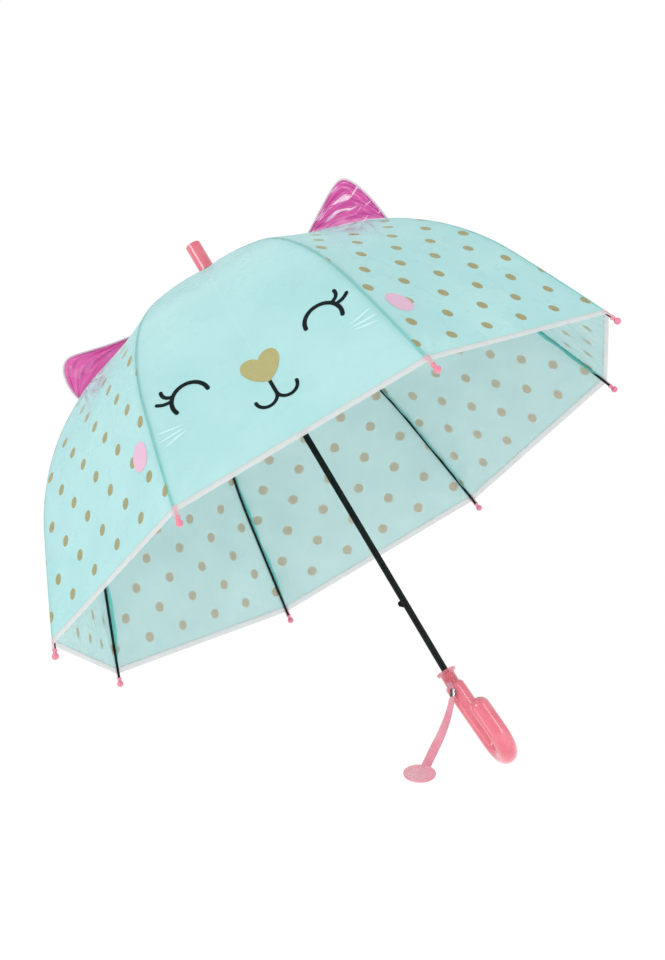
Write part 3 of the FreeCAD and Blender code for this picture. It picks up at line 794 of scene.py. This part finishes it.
def seam_fin(k, name, start, end, body):
    """The welded edge of two gores, standing into the dome beside a rib."""
    azimuth, rows = rib_azimuth(k), FIN_ROWS
    points = []
    for i in range(rows):
        s = start + (end - start) * i / (rows - 1)
        fade = ease(s, 15, 60) * (1 - ease(s, FILM_END - 30, FILM_END + 2))
        depth = FIN_DEPTH + 0.9 * math.sin(s / 13.0 + k) + 0.5 * math.sin(s / 5.7 + 2 * k)
        depth *= max(fade, 0.12)
        sway = 0.55 * math.sin(s / 11.0 + 1.3 * k) + 0.35 * math.sin(s / 4.9 + k)
        for share in FIN_SHARES:
            across = FIN_OFFSET - (0.5 + sway) * share ** 1.5 * fade - 0.5 * share
            points.append(line_point(azimuth, s, 0.35 + depth * share, across))
    back = [p + polar(0, azimuth, 0, FIN_THICKNESS) for p in points]
    fin = mesh_piece(name, points + back, thin_sheet_faces(rows, len(FIN_SHARES)), [FIN_FILM], body)
    return fin


def corner_tab(k):
    """The clear tab that ties the canopy's corner over the rib's end and into its cap."""
    azimuth = rib_azimuth(k)
    rings = []
    for i in range(15):
        s = CORNER - 7.0 + 13.5 * i / 14
        wide = 4.4 - 1.7 * ease(i, 0, 14)
        ring = []
        for lift, turn in ((0.5, range(9)), (0.15, range(8, -1, -1))):
            for j in turn:
                a = math.radians(-80 + 20 * j)
                high = (1.75 + lift) * math.cos(a)
                ring.append(line_point(azimuth, s, 2.0 - high, (wide + lift) * 0.75 * math.sin(a)))
        rings.append(ring)
    points, faces = rings_solid(rings)
    tab = mesh_piece(f"corner_tab_{k}", points, faces, [TAB_FILM], f"rib_outer_{k}")
    return tab


UPPER_GRID = (84, 49)  # points along and across a gore's two sheets
LOWER_GRID = (101, 85)
FIN_GAP = 1.0  # the seam's fin stops this far from the ribs' clip
FIN_TOP = 12.0


def add_canopy():
    for k in range(1, RIBS + 1):
        inner = seam_fin(k, f"seam_fin_inner_{k}", FIN_TOP, ELBOW - FIN_GAP, f"rib_inner_{k}")
        outer = seam_fin(k, f"seam_fin_outer_{k}", ELBOW + FIN_GAP, FILM_END, f"rib_outer_{k}")
    for k in range(1, RIBS + 1):
        upper = film_sheet(f"film_upper_{k}", k, "upper", FILM_START, ELBOW, *UPPER_GRID)
        lower = film_sheet(f"film_lower_{k}", k, "lower", ELBOW, FILM_END, *LOWER_GRID)
        prints = add_print(k)
        gore_flat(FILM_START, ELBOW)
        gore_area(FILM_START, ELBOW) * MM * MM
        gore_flat(ELBOW, FILM_END)
        gore_area(ELBOW, FILM_END) * MM * MM
        hem_strip(k)
        corner_tab(k)


# --- printed face ---
INK_LIFT = 0.22
PATCH_LIFT = 0.32
EYE_PLACE = (71.5, 374.0)
EYE_RADIUS = 18.7
STROKE = 4.5
LASH_STROKE = 4.0
MOUTH_STROKE = 3.7
LASHES = (((-86.5, 361.0), (-92.5, 359.5), (-94.5, 355.0), (-93.6, 350.2)),
          ((-89.5, 365.5), (-94.5, 365.8), (-99.0, 364.2), (-102.3, 361.2)))
MOUTH_STEM = (403.0, 421.0)
MOUTH_RADIUS = 10.7
NOSE_HALF = (  # the right half of the heart, from the notch to the point
    ((0.0, 375.6), (2.6, 371.6), (6.5, 369.3), (11.0, 369.3)),
    ((11.0, 369.3), (16.2, 369.3), (19.7, 373.6), (19.7, 379.4)),
    ((19.7, 379.4), (19.7, 390.5), (8.0, 402.5), (0.0, 404.8)),
)
NOSE_MIDDLE = (0.0, 385.0)
CHEEK_PLACE = (91.0, 396.0)
CHEEK_RADIUS = (13.2, 15.0)
WHISKERS = (((91.0, 396.8), (112.5, 393.0)), ((90.0, 401.2), (115.0, 402.8)),
            ((90.5, 405.2), (112.5, 410.3)))
WHISKER_WIDTH = 2.4


def arc(centre, radius, start, end, steps=24):
    """Points on a circle of the gore's plan; angle 0 is across, 90 towards the crown."""
    points = []
    for i in range(steps + 1):
        a = math.radians(start + (end - start) * i / steps)
        points.append((centre[0] + radius * math.cos(a), centre[1] - radius * math.sin(a)))
    return points


def bezier(controls, steps=12):
    """Points on a Bezier curve in the plan."""
    points = []
    for i in range(steps + 1):
        t, row = i / steps, [Vector(c) for c in controls]
        while len(row) > 1:
            row = [a.lerp(b, t) for a, b in zip(row, row[1:])]
        points.append(tuple(row[0]))
    return points


def mirrored(points):
    return [(-x, s) for x, s in points]


def stroke_mesh(k, line, width, taper=0.0):
    """A printed line with round ends, laid on gore k's film as one layer of faces."""
    half, count = width / 2, len(line)
    spine = [Vector(p) for p in line]
    first, last = spine[0], spine[-1]
    ahead = (spine[1] - first).normalized()
    behind = (last - spine[-2]).normalized()
    rows = []
    for a in (90, 68, 45, 22):
        c, s = math.cos(math.radians(a)), math.sin(math.radians(a))
        rows.append((first - ahead * half * s, ahead, half * max(c, 0.02)))
    for i, p in enumerate(spine):
        along = (spine[min(i + 1, count - 1)] - spine[max(i - 1, 0)]).normalized()
        rows.append((p, along, half * (1 - taper * abs(2 * i / (count - 1) - 1) ** 2)))
    for a in (22, 45, 68, 90):
        c, s = math.cos(math.radians(a)), math.sin(math.radians(a))
        end = half * (1 - taper)
        rows.append((last + behind * end * s, behind, end * max(c, 0.02)))
    points = []
    for p, along, reach in rows:
        side = Vector((-along.y, along.x))
        for share in (-1.0, 0.0, 1.0):
            x, s = p + side * reach * share
            points.append(film_point(k, s, x, INK_LIFT))
    return points, grid_faces(len(rows), 3)


def filled_mesh(k, centre, outline, rings=7):
    """A printed patch laid on gore k's film, from its outline: one layer of faces, no thickness."""
    count = len(outline)
    points = [film_point(k, centre[1], centre[0], PATCH_LIFT)]
    for i in range(1, rings + 1):
        t = i / rings
        for x, s in outline:
            points.append(film_point(
                k, centre[1] + (s - centre[1]) * t, centre[0] + (x - centre[0]) * t, PATCH_LIFT))
    faces = [(0, 1 + (j + 1) % count, 1 + j) for j in range(count)]
    faces += grid_faces(rings, count, start=1, closed=True)
    return points, faces


def joined(parts):
    """Several meshes as one."""
    points, faces = [], []
    for more, shapes in parts:
        faces += [tuple(i + len(points) for i in f) for f in shapes]
        points += more
    return points, faces


def printed(name, k, parts, material):
    points, faces = joined(parts)
    piece = mesh_piece(name, points, faces, [material], f"gore_lower_{k}")
    return fold(piece)


def nose_outline():
    """A soft heart: two round lobes over a blunt point."""
    half = []
    for controls in NOSE_HALF:
        half += bezier(controls, 12)[:-1]
    point = NOSE_HALF[-1][-1]
    return half + [point] + mirrored(half[:0:-1])


def add_print(k):
    """The printed pieces on gore k."""
    made = []
    if k == FACE_GORE:
        left = (-EYE_PLACE[0], EYE_PLACE[1])
        eye = arc(left, EYE_RADIUS, 2.0, 202.0)
        lashes = [bezier(c) for c in LASHES]
        for name, flip in (("left", list), ("right", mirrored)):
            strokes = [stroke_mesh(k, flip(eye), STROKE)]
            strokes += [stroke_mesh(k, flip(line), LASH_STROKE) for line in lashes]
            made.append(printed(f"eye_{name}", k, strokes, BLACK_INK))
            lines = WHISKERS if name == "right" else [mirrored(w) for w in WHISKERS]
            lines = [bezier(w, 10) for w in lines]
            strokes = [stroke_mesh(k, line, WHISKER_WIDTH, 0.5) for line in lines]
            made.append(printed(f"whiskers_{name}", k, strokes, WHITE_PRINT))
        stem = [(0.0, MOUTH_STEM[0]), (0.0, sum(MOUTH_STEM) / 2), (0.0, MOUTH_STEM[1])]
        curl = arc((-MOUTH_RADIUS, MOUTH_STEM[1] - 1.0), MOUTH_RADIUS, 0.0, -180.0)
        strokes = [stroke_mesh(k, line, MOUTH_STROKE) for line in (stem, curl, mirrored(curl))]
        made.append(printed("mouth", k, strokes, BLACK_INK))
        made.append(printed("nose", k, [filled_mesh(k, NOSE_MIDDLE, nose_outline())], GOLD_PRINT))
    sides = {FACE_GORE + 1: -1, RIBS: 1}
    if k in sides:
        place = (sides[k] * CHEEK_PLACE[0], CHEEK_PLACE[1])
        outline = []
        for i in range(48):
            a = 2 * math.pi * i / 48
            x, s = CHEEK_RADIUS[0] * math.cos(a), CHEEK_RADIUS[1] * math.sin(a)
            outline.append((place[0] + x, place[1] + s))
        name = "cheek_left" if sides[k] > 0 else "cheek_right"
        made.append(printed(name, k, [filled_mesh(k, place, outline)], PINK_PRINT))
    return made


# --- ears ---
EAR_STAND_OFF = 0.4
EAR_ROWS, EAR_COLUMNS = 46, 90
EAR_THICKNESS = 0.3
EAR_SEEDS = {"right": 1.0, "left": 2.3}
PIPING_RADIUS = 1.15


def ear_crinkle(seed, t, v):
    """How far an ear's film is creased out of its plane at t along the base and v up."""
    inside = math.sin(math.pi * t) ** 0.6 * ease(v, 0.0, 0.25) * (1 - ease(v, 0.9, 1.0))
    waves = math.sin(2 * math.pi * (2.6 * v + 0.5 * math.sin(3.1 * t + seed)) + seed)
    small = math.sin(2 * math.pi * (6.5 * v + 1.1 * t + 0.25 * math.sin(9.0 * t)) + 2.0 * seed)
    cross = math.sin(2 * math.pi * (3.2 * t - 1.6 * v))
    return inside * (0.95 * waves + 0.4 * small + 0.35 * cross)


def ear_outline(side):
    """The ear's rounded edge as (forward, up) from the middle of its base, from end to end."""
    _, start, end, height, shift = EARS[side]
    half = (end - start) / 2
    middle = (start + end) / 2
    base = [base_place(s, middle) for s in (start, end)]
    far = min(shift + half * 0.62, half * 0.95)
    top = (shift, height)
    first = (base[0], (shift - half * 0.58, height * 0.5), (shift - half * 0.22, height), top)
    second = (top, (shift + half * 0.25, height), (far, height * 0.52), base[1])
    steps = EAR_COLUMNS // 2
    return bezier(first, steps)[:-1] + bezier(second, EAR_COLUMNS - 1 - steps)


def base_place(s, middle):
    """The canopy line at s as (forward, up) from its point at middle, in that point's slope."""
    r0, z0, slope = line_at(middle)
    r1, z1, _ = line_at(s)
    dr, dz = r1 - r0, z1 - z0
    return (dr * math.cos(slope) - dz * math.sin(slope), dr * math.sin(slope) + dz * math.cos(slope))


def ear_place(side, place, across):
    rib, start, end, _, _ = EARS[side]
    r, z, slope = line_at((start + end) / 2)
    forward, up = place[0], place[1] + EAR_STAND_OFF
    radius = r + forward * math.cos(slope) + up * math.sin(slope)
    return polar(radius, rib_azimuth(rib), z - forward * math.sin(slope) + up * math.cos(slope), across)


def add_ear(side):
    rib, start, end, height, _ = EARS[side]
    middle = (start + end) / 2
    outline = ear_outline(side)
    front, back = [], []
    for i in range(EAR_ROWS):
        v = i / (EAR_ROWS - 1)
        for j, top in enumerate(outline):
            t = j / (len(outline) - 1)
            low = base_place(start + (end - start) * t, middle)
            place = (low[0] + (top[0] - low[0]) * v, low[1] + (top[1] - low[1]) * v)
            crease = ear_crinkle(EAR_SEEDS[side], t, v)
            front.append(ear_place(side, place, crease + EAR_THICKNESS / 2))
            back.append(ear_place(side, place, crease - EAR_THICKNESS / 2))
    faces = thin_sheet_faces(EAR_ROWS, EAR_COLUMNS)
    body = f"rib_inner_{rib}"
    ear = mesh_piece(f"ear_{side}_film", front + back, faces, [EAR_VINYL[side]], body)
    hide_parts(f"ear_{side}")
    edge = [ear_place(side, place, 0.0) for place in outline]
    across = polar(0, rib_azimuth(rib), 0, 1.0)
    points, faces = tube(edge, PIPING_RADIUS, across, 10)
    piping = mesh_piece(f"ear_{side}_piping", points, faces, [PIPING_FILM], body)


# --- handle ---
GRIP_RADIUS = 10.2
GRIP_LEAN = 4.0
NECK_RADIUS = 7.5
SHOULDER_TOP = 43.5
SHOULDER_BOTTOM = 40.0
HANDLE_TOP = 58.0
FLANGE_RADIUS = 10.35
HOOK_HEIGHT = -27.0
HOOK_RADIUS = 21.0
HOOK_AZIMUTH = -77.0
LEG_TOP = 3.0
NECK_PROFILE = (  # (radius, height) round the flange, down the bore and back up the outside
    (FLANGE_RADIUS - 0.5, 55.0), (FLANGE_RADIUS - 0.1, 55.4), (FLANGE_RADIUS, 56.2),
    (FLANGE_RADIUS, 57.3), (FLANGE_RADIUS - 0.25, 57.8), (FLANGE_RADIUS - 0.8, HANDLE_TOP),
    (FLANGE_RADIUS - 1.4, 57.8), (FLANGE_RADIUS - 1.9, 57.0), (6.6, 56.6), (4.4, 56.9),
    (3.75, 56.6), (3.75, 55.4), (6.1, 55.0), (6.3, 54.2), (6.3, SHOULDER_TOP - 0.5),
    (NECK_RADIUS - 0.1, SHOULDER_TOP - 0.5), (NECK_RADIUS, 44.2), (NECK_RADIUS - 0.15, 49.0),
    (NECK_RADIUS, 53.6), (NECK_RADIUS + 0.7, 54.7),
)
SLEEVE_PROFILE = (
    (3.6, SHOULDER_TOP - 1.0), (4.6, SHOULDER_TOP - 1.0), (4.6, 47.0), (4.3, 47.6),
    (4.3, 53.0), (4.0, 54.6), (3.6, 54.8),
)
KNOT_RADIUS = 5.35
KNOT_THICKNESS = 1.7
KNOT_BOTTOM = 45.6
KNOT_RISE = 5.6
KNOT_TURNS = 2.25
KNOT_STEPS = 90
GRIP_TOP = 38.8  # the grip has its full radius from here down


def grip_path():
    """(centre, direction, radius) along the J from the shoulder to the end of the free leg."""
    out = polar(1.0, HOOK_AZIMUTH)
    down, path = Vector((0, 0, -1)), []
    for height, radius in ((SHOULDER_TOP, 6.4), (SHOULDER_TOP - 0.1, 7.0), (SHOULDER_TOP - 0.4, NECK_RADIUS),
                           (42.2, 8.4), (41.0, 9.4), (SHOULDER_BOTTOM, 9.95), (GRIP_TOP, GRIP_RADIUS)):
        path.append((Vector((0, 0, height)), down, radius))
    for i in range(1, 31):
        height = GRIP_TOP + (HOOK_HEIGHT - GRIP_TOP) * i / 31
        path.append((Vector((0, 0, height)), down, GRIP_RADIUS))
    for i in range(49):
        a = math.pi * i / 48
        low = Vector((0, 0, HOOK_HEIGHT - HOOK_RADIUS * math.sin(a)))
        centre = out * (HOOK_RADIUS * (1 - math.cos(a))) + low
        path.append((centre, out * math.sin(a) + down * math.cos(a), GRIP_RADIUS))
    foot = out * 2 * HOOK_RADIUS
    for i in range(1, 9):
        height = HOOK_HEIGHT + (LEG_TOP - HOOK_HEIGHT) * i / 8
        path.append((foot + Vector((0, 0, height)), -down, GRIP_RADIUS))
    for i in range(1, 15):
        a = math.radians(88.0 * i / 14)
        rise = GRIP_RADIUS * math.sin(a)
        path.append((foot + Vector((0, 0, LEG_TOP + rise)), -down, GRIP_RADIUS * math.cos(a)))
    return path


def add_grip():
    """The solid J below the neck."""
    flat = polar(1.0, HOOK_AZIMUTH).cross(Vector((0, 0, 1)))
    lean = Matrix.Rotation(-math.radians(GRIP_LEAN), 3, "Y")
    shoulder = Vector((0, 0, SHOULDER_TOP))
    rings = []
    for centre, along, radius in grip_path():
        out = along.cross(flat).normalized()
        ring = ring_at(centre, out, flat, radius, radius, 56)
        rings.append([shoulder + lean @ (place - shoulder) for place in ring])
    points, faces = rings_solid(rings)
    grip = mesh_piece("handle_grip", points, faces, [CORAL], "frame")
    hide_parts("handle")


def add_neck():
    """The clear neck with its flange, and the coloured sleeve inside it."""
    points, faces = turned_solid(NECK_PROFILE)
    neck = mesh_piece("handle_neck", points, faces, [CORAL_CLEAR], "frame")
    points, faces = turned_solid(SLEEVE_PROFILE, 48)
    core = mesh_piece("handle_sleeve", points, faces, [CORAL_DEEP], "frame")


def add_knot():
    """The strap's end, wound round the sleeve inside the neck."""
    start = math.degrees(math.atan2(STRAP_EXIT.y, STRAP_EXIT.x))
    coil = []
    for i in range(KNOT_STEPS + 1):
        share = i / KNOT_STEPS
        turn = start + 360 * KNOT_TURNS * share
        coil.append(polar(KNOT_RADIUS, turn, KNOT_BOTTOM + KNOT_RISE * share))
    points, faces = tube(coil, KNOT_THICKNESS / 2, Vector((0, 0, 1)), 12)
    loop = mesh_piece("strap_knot", points, faces, [CORAL_DEEP], "frame")


# --- carried-over parts ---


def paint(material, *names):
    """The material on CAD nodes that keep their own shape."""
    for name in names:
        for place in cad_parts[name].material_slots:
            place.link = "OBJECT"
            place.material = material


def paint_frame():
    every = range(1, RIBS + 1)
    paint(BLACK_PAINT, "shaft")
    paint(BLACK_PLASTIC, "crown", "runner")
    paint(RIB_PAINT, "catch_open", "catch_closed")
    paint(CORAL, "ferrule")
    paint(TIP_PINK, *[f"tip_{k}" for k in every])
    for k in every:
        paint(RIB_PAINT, f"rib_inner_{k}", f"rib_outer_{k}", f"stretcher_{k}")


# --- stage ---
FLOOR_HEIGHT = -0.36
FLOOR_GLOW = 0.25
FLOOR_HALF = 12.0
LIGHTS = (  # name, place, aim, width and height in metres, watts
    ("key", (-1.5, -1.9, 1.57), (0, 0, 0.45), (1.3, 0.7), 17.0),
    ("fill", (1.5, -1.6, 0.1), (0, 0, 0.05), (0.3, 0.75), 5.0),
    ("side", (-2.7, -0.7, 0.3), (0, 0, 0.35), (0.9, 0.9), 5.0),
    ("top", (-0.2, 0.2, 2.4), (0, 0, 0.4), (1.6, 1.6), 6.0),
)
WORLD_LIGHT = 0.865


def add_stage():
    half = FLOOR_HALF
    mesh = bpy.data.meshes.new("floor")
    corners = [(-half, -half), (half, -half), (half, half), (-half, half)]
    mesh.from_pydata([(x, y, FLOOR_HEIGHT) for x, y in corners], [], [(0, 1, 2, 3)])
    floor = put("floor", mesh)
    sh = Shader("floor_pale")
    tone = sh.mix(sh.range(sh.noise(400.0), 0.4, 0.6), (0.93, 0.93, 0.93), (0.95, 0.95, 0.95))
    glow = {"Emission_Color": (1, 1, 1, 1), "Emission_Strength": FLOOR_GLOW}
    mesh.materials.append(sh.finish(sh.principled(tone, Roughness=0.9, **glow)))
    for name, place, aim, (width, height), watts in LIGHTS:
        data = bpy.data.lights.new(name, "AREA")
        data.shape, data.size, data.size_y, data.energy = "RECTANGLE", width, height, watts
        light = put(name, data)
        light.location = place
        light.rotation_euler = (Vector(aim) - Vector(place)).to_track_quat("-Z", "Y").to_euler()
    world = bpy.data.worlds.new("studio")
    world.use_nodes = True
    nodes, links = world.node_tree.nodes, world.node_tree.links
    path = nodes.new("ShaderNodeLightPath")
    strength = nodes.new("ShaderNodeMapRange")
    strength.inputs["To Min"].default_value = WORLD_LIGHT
    strength.inputs["To Max"].default_value = 1.0
    links.new(path.outputs["Is Camera Ray"], strength.inputs["Value"])
    links.new(strength.outputs[0], nodes["Background"].inputs["Strength"])
    nodes["Background"].inputs["Color"].default_value = (1, 1, 1, 1)
    bpy.context.scene.world = world
    bpy.context.scene.view_settings.view_transform = "Standard"


add_camera()
add_strap()
add_canopy()
for ear_side in EARS:
    add_ear(ear_side)
add_grip()
add_neck()
add_knot()
paint_frame()
add_stage()
